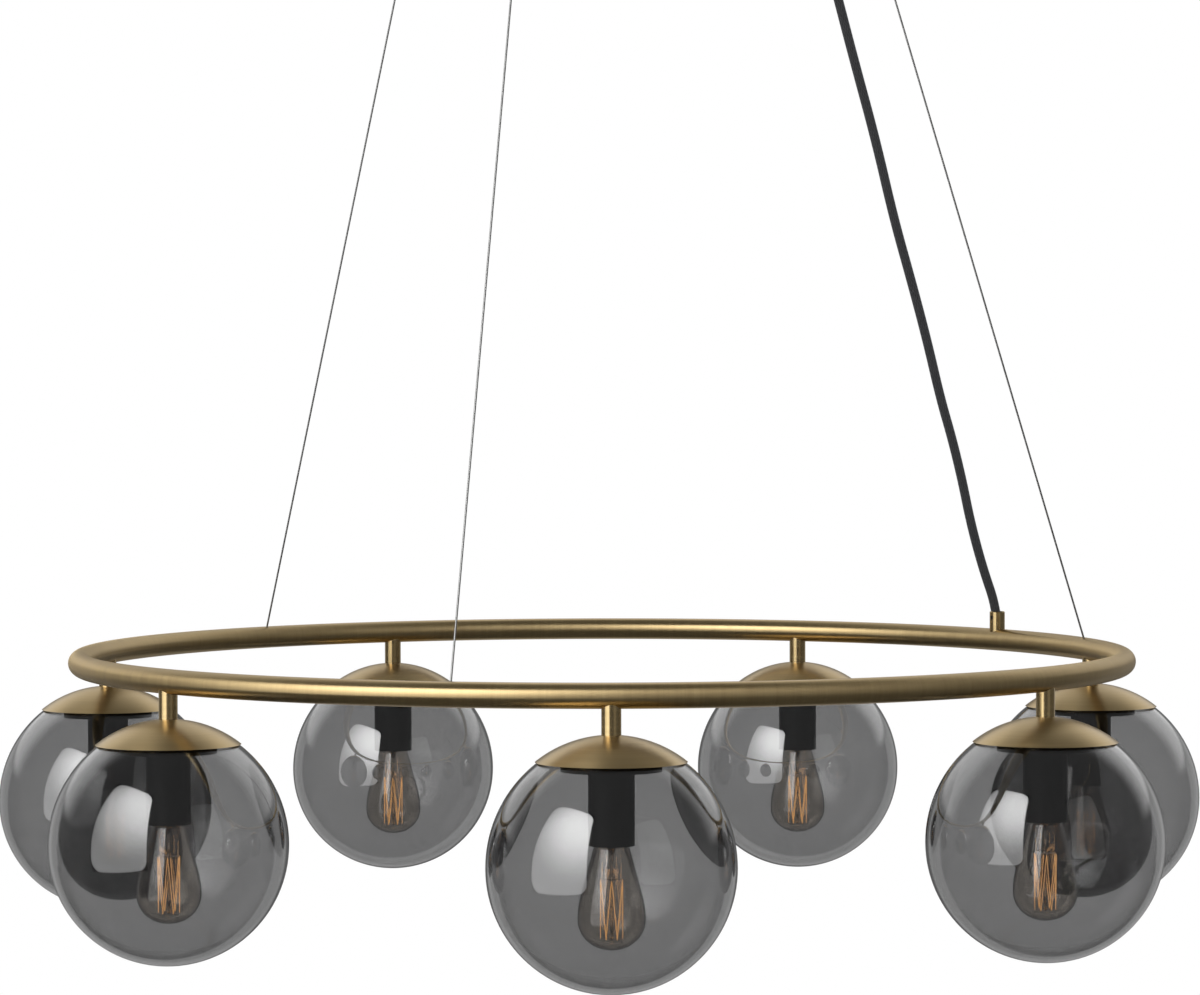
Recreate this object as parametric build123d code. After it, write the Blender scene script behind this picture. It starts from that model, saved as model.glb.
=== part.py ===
"""Pendant with seven smoked glass globes under a brass ring, hung on three wires from a ceiling canopy.

Millimetres, +Z up. The origin is where the ceiling bracket's flat back meets the ceiling, on the axis of
the ring. -Y is the front. Angles are counted in plan, anticlockwise from +X.
"""
from build123d import *
from build123d.topology import SkipClean
import os
from math import acos, cos, hypot, radians, sin, sqrt, tan

os.makedirs("parts", exist_ok=True)

# ---- ring -------------------------------------------------------------------------------------------
ring_radius = 371.0             # centre of the ring to the centre of its tube
ring_tube_radius = 8.3
ring_tube_wall = 1.5
ring_drop = 1080.0              # ceiling to the middle of the ring's tube
ring_seam_angle = 60.0          # plan angle of the tube's seam, and of its twin across the ring

# ---- globes -----------------------------------------------------------------------------------------
globe_count = 7
first_globe_angle = -89.1       # the front globe
globe_drop = 108.5              # middle of the ring's tube to the globe's centre
globe_radius = 79.4
globe_wall = 2.5
globe_shoulder = 4.5            # how far the upper half's arc is centred past the axis
mouth_radius = 36.0
globe_lip = 1.0                 # how far the rounded lip reaches in from the two faces

# ---- cap over the globe -----------------------------------------------------------------------------
cap_radius = 48.1
cap_wall = 0.8
cap_gap = 0.4                   # between glass and cap, square to both

# ---- stem -------------------------------------------------------------------------------------------
stem_radius = 6.3
stem_bore_radius = 3.0
stem_seat_depth = 3.5           # how far the stem's top end stands inside the ring's tube
spigot_radius = 5.0             # M10 thread
spigot_engagement = 6.8         # length of thread inside the lampholder
braze_gap = 0.05

# ---- nuts on M10 thread -----------------------------------------------------------------------------
nut_across_flats = 14.0
nut_thickness = 3.0
thread_gap = 0.05

# ---- lampholder -------------------------------------------------------------------------------------
holder_radius = 14.65
holder_top = 60.7               # above the globe's centre
holder_length = 46.4
holder_mouth_radius = 11.9
holder_mouth_depth = 6.7
holder_bore_radius = 8.1
holder_bore_depth = 34.7        # mouth and bore together
holder_web = 3.0                # floor between the bore and the wiring space
holder_wiring_radius = 11.5
holder_cover = 4.2              # thickness of the top

# ---- black plate that holds the globe ---------------------------------------------------------------
retainer_radius = 32.0
retainer_thickness = 1.2
retainer_wall_height = 5.7
clip_count = 3
clip_width_angle = 30.0
clip_thickness = 0.8
clip_gap = 0.3                  # between a clip's elbow and the glass
clip_tip_rise = 1.7             # from the elbow up to the clip's end
clip_tip_inset = 1.7            # from the elbow in to the clip's end

# ---- lamp with small screw cap ----------------------------------------------------------------------
bulb_radius = 21.45
bulb_wide_height = -32.8        # height of the widest place, from the globe's centre
bulb_tail = 19.0                # widest place to the bottom
bulb_tail_turn = 40.0           # angle about the widest place's middle where the tail's curve is fixed
bulb_wall = 0.8
bulb_shoulder_radius = 11.4
bulb_shoulder_height = 12.5
bulb_shoulder_slope = -0.29     # change of radius with height there
# two places on the flank: part of the widest radius, and of the rise from there to the shoulder
bulb_flank = [(0.955, 0.25), (0.77, 0.58)]
bulb_collar_radius = 9.3
bulb_collar_height = 16.6
bulb_step_height = 0.6          # rise of the glass from the collar's edge to the screw cap's skirt
bulb_neck_rise = 1.6            # rise from there to the straight neck
bulb_neck_radius = 6.2
bulb_neck_top = 27.0
bulb_mount_radius = 1.6         # glass rod that carries the filament
base_radius = 6.9               # thread crest of the screw cap
base_wall = 0.5
base_skirt_radius = 8.4
base_skirt_length = 2.4
base_top = 39.0
base_pip_radius = 2.4
base_pip_height = 2.6
filament_radius = 0.3
filament_stay_radius = 0.24
filament_loops = 6
filament_top_radius = 8.0
filament_bottom_radius = 7.0
filament_top_height = -7.0
filament_bottom_height = -45.0

# ---- socket contacts --------------------------------------------------------------------------------
contact_gap = 0.3               # to the lamp's cap
contact_wall = 0.4
contact_shell_length = 16.0
contact_disc_radius = 3.0
contact_disc_thickness = 0.6
contact_post_radius = 1.2
contact_post_rise = 3.0         # above the holder's web

# ---- suspension wires -------------------------------------------------------------------------------
wire_count = 3
first_wire_angle = 15.0
wire_radius = 0.7
wire_hole_radius = 1.1
stop_radius = 1.5
stop_length = 3.7
stop_wall_gap = 0.6             # from the stop's end to the tube's inner wall

# ---- supply cord ------------------------------------------------------------------------------------
cord_angle = 35.2
cord_radius = 3.5
cord_gap = 0.15
cord_bend_share = 0.45          # of the shorter run beside it, taken up by each half of an arc
# points of the cord's centre line: distance from the axis, height above the middle of the ring's tube
cord_route = [
    (371.0, 5.5), (371.0, 22.5), (356.2, 56.0), (344.4, 90.0), (335.8, 123.0), (325.9, 154.5),
    (314.6, 184.5), (300.9, 230.0), (285.4, 275.0), (269.0, 320.0), (251.3, 379.0), (230.7, 437.5),
    (213.3, 489.0), (189.5, 560.0), (164.5, 632.0), (142.0, 704.0), (117.3, 776.0), (95.3, 843.0),
    (73.4, 906.0), (56.2, 953.0), (39.8, 995.0), (31.0, 1028.0), (31.0, 1062.0),
]

# ---- gland on the ring ------------------------------------------------------------------------------
gland_radius = 5.8
gland_height = 13.4             # above the tube's top line
gland_flare = 0.8               # how much wider the mouth is than the bore
gland_flare_depth = 9.0
gland_chamfer = 0.5
gland_spigot_radius = 4.6
gland_spigot_end = 4.2          # end of the spigot above the middle of the ring's tube
set_screw_radius = 1.5
set_screw_hole_gap = 0.05
set_screw_height = 8.9          # above the tube's top line
set_screw_recess = 0.4

# ---- wiring in the ring -----------------------------------------------------------------------------
loom_radius = 1.8
loom_sink = 1.0                 # below the middle of the tube
loom_drop_radius = 1.6
loom_end_gap = 0.4

# ---- canopy -----------------------------------------------------------------------------------------
canopy_radius = 60.0
canopy_height = 28.0
canopy_wall = 1.2
canopy_edge_radius = 2.0
ceiling_gap = 0.5               # shadow gap between ceiling and cover
grip_circle_radius = 43.0
grip_radius = 5.5
grip_length = 13.0              # below the cover
grip_tip_radius = 3.2
grip_taper_length = 4.0
grip_bore_radius = 0.9
grip_funnel_radius = 2.3
grip_funnel_depth = 4.0
grip_wire_depth = 2.5           # length of wire seen end-on inside the funnel
grip_spigot_length = 8.0        # above the cover's underside
grip_button_radius = 2.2
grip_button_height = 3.0

# ---- bracket on the ceiling -------------------------------------------------------------------------
bracket_thickness = 2.0
bracket_width = 22.0
bracket_end_gap = 1.2           # to the cover's inner wall
ear_length = 13.0
slot_spacing = 68.0
slot_length = 14.0
slot_radius = 2.6
inlet_radius = 5.0
inlet_offset = 19.0             # from the axis along X
cover_screw_radius = 2.0
cover_screw_gap = 0.1
cover_screw_height = 7.5        # below the ceiling
cover_screw_head_radius = 3.8
cover_screw_head_height = 2.2

# ---- terminal block ---------------------------------------------------------------------------------
block_length = 27.0
block_width = 16.0
block_height = 14.0
block_edge = 1.0
pole_count = 3
pole_pitch = 9.0
pole_bore_radius = 1.8
pole_screw_radius = 1.6
pole_screw_depth = 3.0
pole_screw_offset = 4.5
tail_radius = 0.9
tail_bend_radius = 1.8
tail_spread = 1.1               # from the cord's axis to each tail where it leaves the cord

# ---- places worked out from the sizes ---------------------------------------------------------------
ring_height = -ring_drop
unit_height = ring_height - globe_drop
holder_bottom = holder_top - holder_length
nut_corner_radius = nut_across_flats / 2 / cos(radians(30))
canopy_underside = -canopy_height
cord_bore_radius = cord_radius + cord_gap
thread_hole_radius = spigot_radius + thread_gap


def polar(radius, angle, height=0.0):
    """Point at a distance from the axis, an angle in plan and a height."""
    return Vector(radius * cos(radians(angle)), radius * sin(radians(angle)), height)


def arc_height(arc_radius, radius):
    """Height of the globe's upper profile, or one parallel to it, at a distance from the globe's axis."""
    return sqrt(arc_radius**2 - (radius + globe_shoulder) ** 2)


def cap_dome():
    """Radius and centre height of the sphere inside the cap, which clears the glass by the gap twice."""
    arc_radius = globe_radius + globe_shoulder
    points = []
    for radius in (mouth_radius, cap_radius):
        height = arc_height(arc_radius, radius)
        reach = 1 + cap_gap / arc_radius
        points.append(((radius + globe_shoulder) * reach - globe_shoulder, height * reach))
    (r1, z1), (r2, z2) = points
    centre = (r1**2 + z1**2 - r2**2 - z2**2) / (2 * (z1 - z2))
    return hypot(r1, z1 - centre), centre


dome_radius, dome_centre = cap_dome()


def dome_height(radius, outside=False):
    """Height of the cap's inner or outer face at a distance from its axis."""
    sphere = dome_radius + (cap_wall if outside else 0.0)
    return dome_centre + sqrt(sphere**2 - radius**2)


stem_shoulder = dome_height(stem_radius, outside=True)
cap_rim = dome_height(cap_radius, outside=True)
spigot_end = holder_top - spigot_engagement
bore_floor = holder_bottom + holder_bore_depth
wire_stop_far = ring_tube_radius - ring_tube_wall - stop_wall_gap
wire_stop_near = wire_stop_far - stop_length
grip_tip = canopy_underside - grip_length
wire_top = Vector(grip_circle_radius, 0, grip_tip + grip_wire_depth)
wire_foot = Vector(ring_radius, 0, ring_height)
wire_direction = (wire_top - wire_foot).normalized()
cord_top_height = ring_height + cord_route[-1][1]
canopy_inner_radius = canopy_radius - canopy_wall


def globe_angles():
    return [first_globe_angle + k * 360 / globe_count for k in range(globe_count)]


def wire_angles():
    return [first_wire_angle + k * 360 / wire_count for k in range(wire_count)]


def turned(points):
    """Solid of revolution about Z from corner points (radius, height)."""
    return revolve(Plane.XZ * make_face(Polyline(*points, close=True)), Axis.Z)


def rod(start, end, radius):
    """Round bar between two points."""
    axis = end - start
    return Plane(origin=start, z_dir=axis) * Cylinder(
        radius, axis.length, align=(Align.CENTER, Align.CENTER, Align.MIN)
    )


def upright(radius, low, high, x=0.0, y=0.0):
    """Vertical cylinder between two heights."""
    return Pos(x, y, low) * Cylinder(radius, high - low, align=(Align.CENTER, Align.CENTER, Align.MIN))


def closed_ring(section, cuts=(), posts=()):
    """Round ring in two halves that are cut, joined and given their posts, seams kept at the joins.

    The section is drawn as (distance from the ring's axis, height). The halves' seams lie away from
    every hole and post.
    """
    halves = [
        Rot(0, 0, ring_seam_angle + turn) * revolve(Plane.XZ * section, Axis.Z, 180) for turn in (0, 180)
    ]
    halves = [half.cut(*cuts) if cuts else half for half in halves]
    with SkipClean():
        return halves[0].fuse(halves[1], *posts)


def hexagon_nut(low):
    """Thin nut on the M10 thread, on the Z axis."""
    blank = Pos(0, 0, low) * extrude(RegularPolygon(nut_corner_radius, 6), nut_thickness)
    return blank - upright(thread_hole_radius, low - 1, low + nut_thickness + 1)


def at_units(solid):
    """Copies of a solid at every globe, moved without turning."""
    return [Pos(*polar(ring_radius, angle, unit_height)) * solid for angle in globe_angles()]


def as_solids(shape):
    """The separate solids of a shape."""
    return list(shape.solids())


def save(name, shapes):
    """Write one node, a single solid or a group of solids."""
    solids = [solid for shape in shapes for solid in as_solids(shape)]
    item = solids[0] if len(solids) == 1 else Compound(children=solids)
    export_step(item, f"parts/{name}.step")


# ---- globe, cap and what carries them ---------------------------------------------------------------
def globe_arcs(wall):
    """Lower and upper arc of the globe's outer profile, or of one a wall further in, up to the lip."""
    low_radius = globe_radius - wall
    arc_radius = low_radius + globe_shoulder
    lip_radius = mouth_radius + globe_lip
    half_turn = radians(45)
    low = ThreePointArc(
        (0, -low_radius), (low_radius * cos(half_turn), -low_radius * sin(half_turn)), (low_radius, 0)
    )
    end_turn = acos((lip_radius + globe_shoulder) / arc_radius) / 2
    middle = (arc_radius * cos(end_turn) - globe_shoulder, arc_radius * sin(end_turn))
    high = ThreePointArc((low_radius, 0), middle, (lip_radius, arc_height(arc_radius, lip_radius)))
    return low, high


def globe_glass():
    """Blown globe with an open mouth and a fire-polished lip."""
    outer_low, outer_high = globe_arcs(0.0)
    inner_low, inner_high = globe_arcs(globe_wall)
    lip_height = ((outer_high @ 1).Y + (inner_high @ 1).Y) / 2
    lip = ThreePointArc(outer_high @ 1, (mouth_radius, lip_height), inner_high @ 1)
    axis = Line(inner_low @ 0, outer_low @ 0)
    section = make_face([outer_low, outer_high, lip, inner_high, inner_low, axis])
    return revolve(Plane.XZ * section, Axis.Z)


def globe_cap():
    """Spun dome, drilled for the stem's spigot and flattened a little where the stem sits."""
    outer = Pos(0, 0, dome_centre) * Sphere(dome_radius + cap_wall)
    inner = Pos(0, 0, dome_centre) * Sphere(dome_radius)
    dome = (outer - inner) & upright(2 * globe_radius, cap_rim, 2 * globe_radius)
    dome -= upright(thread_hole_radius, 0, 2 * globe_radius)
    return dome - upright(stem_radius + braze_gap, stem_shoulder, 2 * globe_radius)


def stem():
    """Tube from the ring to the cap, with a threaded spigot that runs down into the lampholder."""
    top = globe_drop - ring_tube_radius + stem_seat_depth
    return turned(
        [
            (stem_bore_radius, spigot_end),
            (spigot_radius, spigot_end),
            (spigot_radius, stem_shoulder),
            (stem_radius, stem_shoulder),
            (stem_radius, top),
            (stem_bore_radius, top),
        ]
    )


def glass_retainer():
    """Black plate with a short wall and sprung clips that hold the globe by its mouth."""
    floor = holder_top
    wall_top = floor + retainer_wall_height
    inside = retainer_radius - clip_thickness
    plate = turned(
        [
            (thread_hole_radius, floor),
            (retainer_radius, floor),
            (retainer_radius, wall_top),
            (inside, wall_top),
            (inside, floor + retainer_thickness),
            (thread_hole_radius, floor + retainer_thickness),
        ]
    )
    inner_arc = globe_radius - globe_wall + globe_shoulder
    elbow_height = (arc_height(inner_arc, mouth_radius) + arc_height(inner_arc + globe_wall, mouth_radius)) / 2
    elbow = mouth_radius - clip_gap
    tip_height = elbow_height + clip_tip_rise
    tip = elbow - clip_tip_inset
    section = Plane.XZ * make_face(
        Polyline(
            (inside, wall_top - clip_thickness),
            (retainer_radius, wall_top - clip_thickness),
            (elbow, elbow_height),
            (tip, tip_height),
            (tip - clip_thickness, tip_height),
            (elbow - clip_thickness, elbow_height),
            close=True,
        )
    )
    clip = revolve(section, Axis.Z, clip_width_angle)
    for k in range(clip_count):
        plate += Rot(0, 0, k * 360 / clip_count - clip_width_angle / 2 - 90) * clip
    return plate


def lock_nuts():
    """Two nuts on each stem: one under the cap, one on the retainer."""
    under_cap = dome_height(nut_corner_radius) - thread_gap - nut_thickness
    return [hexagon_nut(under_cap), hexagon_nut(holder_top + retainer_thickness)]


def lampholder():
    """Plain black candle lampholder: mouth, bore for the contacts, web and wiring space."""
    web_top = bore_floor + holder_web
    body = turned(
        [
            (holder_bore_radius, holder_bottom + holder_mouth_depth),
            (holder_mouth_radius, holder_bottom + holder_mouth_depth),
            (holder_mouth_radius, holder_bottom),
            (holder_radius, holder_bottom),
            (holder_radius, holder_top),
            (thread_hole_radius, holder_top),
            (thread_hole_radius, holder_top - holder_cover),
            (holder_wiring_radius, holder_top - holder_cover),
            (holder_wiring_radius, web_top),
            (contact_post_radius + thread_gap, web_top),
            (contact_post_radius + thread_gap, bore_floor),
            (holder_bore_radius, bore_floor),
        ]
    )
    return body


def socket_contacts():
    """Threaded shell round the lamp's cap, and the centre contact on its post through the web."""
    shell_inside = base_radius + contact_gap
    shell_low = bore_floor - contact_shell_length
    shell = upright(shell_inside + contact_wall, shell_low, bore_floor)
    shell -= upright(shell_inside, shell_low - 1, bore_floor + 1)
    contact_low = base_top + base_pip_height + contact_gap
    centre = turned(
        [
            (0, contact_low),
            (contact_disc_radius, contact_low),
            (contact_disc_radius, contact_low + contact_disc_thickness),
            (contact_post_radius, contact_low + contact_disc_thickness),
            (contact_post_radius, bore_floor + holder_web + contact_post_rise),
            (0, bore_floor + holder_web + contact_post_rise),
        ]
    )
    return [shell, centre]


# ---- lamp -------------------------------------------------------------------------------------------
def bulb_outline(wall):
    """Half section of the lamp's glass, straight-sided cone over a round tail, less a wall."""
    wide = bulb_radius - wall
    tail = Vector(0, bulb_wide_height - bulb_tail + wall)
    flank_turn = radians(bulb_tail_turn)
    tail_middle = Vector(
        wide * sin(flank_turn), bulb_wide_height - (bulb_tail - wall) * cos(flank_turn)
    )
    shoulder = Vector(bulb_shoulder_radius - wall, bulb_shoulder_height)
    rise = bulb_shoulder_height - bulb_wide_height
    flank = [
        Vector(bulb_radius * width - wall, bulb_wide_height + rise * height) for width, height in bulb_flank
    ]
    collar = Vector(bulb_collar_radius - wall, bulb_collar_height - wall / 2)
    step_height = bulb_collar_height + bulb_step_height
    step = Vector(base_skirt_radius - base_wall - contact_gap - wall, step_height - wall / 2)
    neck_foot = Vector(bulb_neck_radius - wall, step_height + bulb_neck_rise - wall / 2)
    neck_head = Vector(bulb_neck_radius - wall, bulb_neck_top - wall)
    return make_face(
        [
            *Spline(
                tail, tail_middle, Vector(wide, bulb_wide_height), tangents=((1, 0), (0, 1))
            ).edges(),
            *Spline(
                Vector(wide, bulb_wide_height), *flank, shoulder,
                tangents=((0, 1), (bulb_shoulder_slope, 1)),
            ).edges(),
            *Polyline(shoulder, collar, step, neck_foot, neck_head, (0, neck_head.Y), tail).edges(),
        ]
    )


def bulb_glass():
    """Envelope closed at the neck, with the glass rod that carries the filament inside it."""
    shell = revolve(Plane.XZ * (bulb_outline(0.0) - bulb_outline(bulb_wall)), Axis.Z)
    return shell + upright(bulb_mount_radius, filament_bottom_height, bulb_neck_top - bulb_wall / 2)


def bulb_base():
    """Screw cap: skirt over the collar, threaded shell and centre pip."""
    skirt_low = bulb_collar_height + bulb_step_height + thread_gap
    skirt_top = skirt_low + base_skirt_length
    shell_inside = base_radius - base_wall
    return turned(
        [
            (base_skirt_radius - base_wall, skirt_low),
            (base_skirt_radius, skirt_low),
            (base_skirt_radius, skirt_top),
            (base_radius, skirt_top + base_skirt_radius - base_radius),
            (base_radius, base_top - base_wall),
            (base_pip_radius, base_top + base_pip_height / 2),
            (base_pip_radius, base_top + base_pip_height),
            (0, base_top + base_pip_height),
            (0, base_top - base_wall),
            (shell_inside, base_top - 2 * base_wall),
            (shell_inside, skirt_top + base_skirt_radius - base_radius - base_wall),
            (base_skirt_radius - base_wall, skirt_top - base_wall),
        ]
    )


def filament():
    """Zigzag cage between two crowns of hooks, with a stay from the glass rod to each hook."""
    corners = []
    for k in range(filament_loops):
        step = 360 / filament_loops
        corners.append(polar(filament_top_radius, -90 + k * step, filament_top_height))
        corners.append(polar(filament_bottom_radius, -90 + (k + 0.5) * step, filament_bottom_height))
    pieces = []
    for k, corner in enumerate(corners):
        pieces.append(rod(corner, corners[(k + 1) % len(corners)], filament_radius))
        pieces.append(Pos(*corner) * Sphere(filament_radius))
        rod_side = Vector(corner.X, corner.Y, 0).normalized() * (bulb_mount_radius + thread_gap)
        pieces.append(rod(rod_side + Vector(0, 0, corner.Z), corner, filament_stay_radius))
    cage = pieces[0]
    return cage.fuse(*pieces[1:])


# ---- ring and what is on it -------------------------------------------------------------------------
def wire_line(angle, start, end):
    """Two points on a wire's axis, at distances from the middle of the ring's tube."""
    foot = wire_foot.rotate(Axis.Z, angle)
    direction = wire_direction.rotate(Axis.Z, angle)
    return foot + direction * start, foot + direction * end


def ring_tube():
    """Closed ring of round tube, drilled for stems, wires and cord gland."""
    inner_radius = ring_tube_radius - ring_tube_wall
    section = Pos(ring_radius, ring_height) * (Circle(ring_tube_radius) - Circle(inner_radius))
    reach = 2 * ring_tube_radius
    drills = []
    for angle in globe_angles():
        spot = polar(ring_radius, angle)
        drills.append(upright(stem_radius + braze_gap, ring_height - reach, ring_height, spot.X, spot.Y))
    for angle in wire_angles():
        drills.append(rod(*wire_line(angle, 0, reach), wire_hole_radius))
    spot = polar(ring_radius, cord_angle)
    gland_hole = gland_spigot_radius + thread_gap
    drills.append(upright(gland_hole, ring_height, ring_height + reach, spot.X, spot.Y))
    return closed_ring(section, cuts=drills)


def wire_end_stops():
    """Crimped ferrules on the wires' lower ends, inside the tube."""
    stops = []
    for angle in wire_angles():
        ferrule = rod(*wire_line(angle, wire_stop_near, wire_stop_far), stop_radius)
        bore = rod(*wire_line(angle, 0, 2 * ring_tube_radius), wire_radius + thread_gap)
        stops.append(ferrule - bore)
    return stops


def suspension_wires():
    """Straight wires from their stops up into the grippers."""
    length = (wire_top - wire_foot).length
    return [rod(*wire_line(angle, wire_stop_near, length), wire_radius) for angle in wire_angles()]


def ring_gland():
    """Sleeve with a threaded spigot in the ring's tube, and a mouth that lets the cord lean."""
    base = -ring_tube_radius
    top = gland_height
    foot = gland_spigot_end - ring_tube_radius
    sleeve = turned(
        [
            (cord_bore_radius, foot),
            (gland_radius, foot),
            (gland_radius, top - gland_chamfer),
            (gland_radius - gland_chamfer, top),
            (cord_bore_radius + gland_flare, top),
            (cord_bore_radius, top - gland_flare_depth),
        ]
    )
    sleeve = Pos(*polar(ring_radius, cord_angle, ring_height + ring_tube_radius)) * sleeve
    saddle = Pos(0, 0, ring_height) * Torus(ring_radius, ring_tube_radius + thread_gap)
    spot = polar(ring_radius, cord_angle, ring_height + ring_tube_radius)
    core = upright(gland_spigot_radius, spot.Z + base, spot.Z + top, spot.X, spot.Y)
    sleeve = (sleeve - saddle) + (sleeve & core)
    inward = polar(1.0, cord_angle) * -1
    centre = spot + Vector(0, 0, set_screw_height)
    return sleeve - rod(centre, centre + inward * 2 * gland_radius, set_screw_radius + set_screw_hole_gap)


def gland_screw():
    """Grub screw in the gland's side, towards the ring's axis, against the cord."""
    spot = polar(ring_radius, cord_angle, ring_height + ring_tube_radius + set_screw_height)
    inward = polar(1.0, cord_angle) * -1
    tip = cord_bore_radius + gland_flare
    return rod(spot + inward * tip, spot + inward * (gland_radius - set_screw_recess), set_screw_radius)


def wiring_loom():
    """Bundle of insulated wires round the ring's tube, with a drop into each stem and up to the cord."""
    level = ring_height - loom_sink
    low = unit_height + bore_floor + holder_web + contact_post_rise + loom_end_gap
    posts = []
    for angle in globe_angles():
        spot = polar(ring_radius, angle)
        posts.append(upright(loom_drop_radius, low, level, spot.X, spot.Y))
    spot = polar(ring_radius, cord_angle)
    cord_end = ring_height + cord_route[0][1] - loom_end_gap
    posts.append(upright(loom_drop_radius, level, cord_end, spot.X, spot.Y))
    return closed_ring(Pos(ring_radius, level) * Circle(loom_radius), posts=posts)


def supply_cord():
    """Round cord along its route, straight runs joined by tangent arcs."""
    points = [polar(radius, cord_angle, ring_height + height) for radius, height in cord_route]
    runs = [(b - a).length for a, b in zip(points, points[1:])]
    turns = [(b - a).get_angle(c - b) for a, b, c in zip(points, points[1:], points[2:])]
    radii = [
        cord_bend_share * min(before, after) / tan(radians(turn) / 2)
        for before, after, turn in zip(runs, runs[1:], turns)
    ]
    path = FilletPolyline(*points, radius=radii)
    section = Plane(origin=path @ 0, z_dir=path % 0) * Circle(cord_radius)
    tube = sweep(section, path=path)
    print("cord: arcs' radii", [round(radius) for radius in radii], "least", round(min(radii), 1))
    print("cord: length", round(path.length, 1), "volume", round(tube.volume))
    return tube


# ---- canopy -----------------------------------------------------------------------------------------
def at_grips(solid):
    return [Pos(*polar(grip_circle_radius, angle)) * solid for angle in wire_angles()]


def canopy_gland_place():
    return Pos(*polar(cord_route[-1][0], cord_angle))


def canopy_cover():
    """Drawn cup with its mouth at the ceiling, drilled for grippers, gland and side screws."""
    top = -ceiling_gap
    cup = upright(canopy_radius, canopy_underside, top)
    cup = fillet(cup.edges().group_by(Axis.Z)[0], canopy_edge_radius)
    cup -= upright(canopy_inner_radius, canopy_underside + canopy_wall, top + 1)
    hole = upright(thread_hole_radius, canopy_underside - 1, canopy_underside + 2 * canopy_wall)
    for place in at_grips(hole):
        cup -= place
    cup -= canopy_gland_place() * hole
    reach = Vector(canopy_radius + 1, 0, -cover_screw_height)
    screw_hole = rod(Vector(-reach.X, 0, reach.Z), reach, cover_screw_radius + cover_screw_gap)
    return cup - screw_hole


def wire_gripper():
    """Gripper: tapered nose, spigot through the cover and release button on top."""
    funnel_top = grip_tip + grip_funnel_depth
    spigot_top = canopy_underside + grip_spigot_length
    return turned(
        [
            (grip_funnel_radius, grip_tip),
            (grip_tip_radius, grip_tip),
            (grip_radius, grip_tip + grip_taper_length),
            (grip_radius, canopy_underside),
            (spigot_radius, canopy_underside),
            (spigot_radius, spigot_top),
            (grip_button_radius, spigot_top),
            (grip_button_radius, spigot_top + grip_button_height),
            (grip_bore_radius, spigot_top + grip_button_height),
            (grip_bore_radius, funnel_top),
        ]
    )


def canopy_gland():
    """Sleeve under the cover that the cord goes up through, with its spigot inside."""
    low = canopy_underside - grip_length
    top = canopy_underside + grip_spigot_length
    return canopy_gland_place() * turned(
        [
            (cord_bore_radius, low + gland_chamfer),
            (cord_bore_radius + gland_chamfer, low),
            (gland_radius - gland_chamfer, low),
            (gland_radius, low + gland_chamfer),
            (gland_radius, canopy_underside),
            (spigot_radius, canopy_underside),
            (spigot_radius, top),
            (cord_bore_radius, top),
        ]
    )


def canopy_nuts():
    """Nuts inside the cover, on the grippers and the gland."""
    nut = hexagon_nut(canopy_underside + canopy_wall)
    return [*at_grips(nut), canopy_gland_place() * nut]


def ceiling_bracket():
    """Strip with slots for the ceiling screws, an inlet hole and an ear turned down at each end."""
    half = canopy_inner_radius - bracket_end_gap
    strip = Pos(0, 0, -bracket_thickness / 2) * Box(2 * half, bracket_width, bracket_thickness)
    for side in (-1, 1):
        ear_x = side * (half - bracket_thickness / 2)
        strip += Pos(ear_x, 0, -ear_length / 2) * Box(bracket_thickness, bracket_width, ear_length)
        slot = extrude(SlotOverall(slot_length, 2 * slot_radius), 3 * bracket_thickness, both=True)
        strip -= Pos(side * slot_spacing / 2, 0, 0) * slot
    strip -= upright(inlet_radius, -2 * bracket_thickness, bracket_thickness, inlet_offset)
    reach = Vector(canopy_radius, 0, -cover_screw_height)
    return strip - rod(Vector(-reach.X, 0, reach.Z), reach, cover_screw_radius + thread_gap)


def canopy_screws():
    """Two screws through the cover's side into the bracket's ears."""
    screws = []
    ear_inside = canopy_inner_radius - bracket_end_gap - bracket_thickness
    for side in (-1, 1):
        seat = Vector(side * canopy_radius, 0, -cover_screw_height)
        tip = Vector(side * (ear_inside - 1), 0, -cover_screw_height)
        head_end = seat + Vector(side * cover_screw_head_height, 0, 0)
        screws.append(rod(tip, seat, cover_screw_radius) + rod(seat, head_end, cover_screw_head_radius))
    return screws


def terminal_block():
    """Three-pole block under the bracket, and three tails from it to the cord's end."""
    top = -bracket_thickness
    middle = top - block_height / 2
    block = Pos(0, 0, middle) * Box(block_length, block_width, block_height)
    block = fillet(block.edges().filter_by(Axis.Z), block_edge)
    tails = []
    cord_end = polar(cord_route[-1][0], cord_angle, cord_top_height)
    for k in range(pole_count):
        x = (k - (pole_count - 1) / 2) * pole_pitch
        block -= rod(Vector(x, -block_width, middle), Vector(x, block_width, middle), pole_bore_radius)
        for y in (-pole_screw_offset, pole_screw_offset):
            block -= upright(pole_screw_radius, top - block_height, top - block_height + pole_screw_depth, x, y)
        start = cord_end + polar(tail_spread, 90 + k * 360 / pole_count, thread_gap)
        end = Vector(x, block_width / 2 - pole_screw_offset / 2, middle)
        knee = Vector(start.X, start.Y, middle)
        path = FilletPolyline(start, knee, end, radius=tail_bend_radius)
        section = Plane(origin=path @ 0, z_dir=path % 0) * Circle(tail_radius)
        tails.append(sweep(section, path=path))
    return [block, *tails]


# ---- write the nodes --------------------------------------------------------------------------------
unit_parts = {
    "globe_cap": globe_cap(),
    "lampholder": lampholder(),
    "globe_glass": globe_glass(),
    "bulb_glass": bulb_glass(),
    "bulb_base": bulb_base(),
    "filament": filament(),
}
for unit_name, unit_solid in unit_parts.items():
    for number, placed in enumerate(at_units(unit_solid), start=1):
        save(f"{unit_name}_{number}", [placed])

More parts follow.
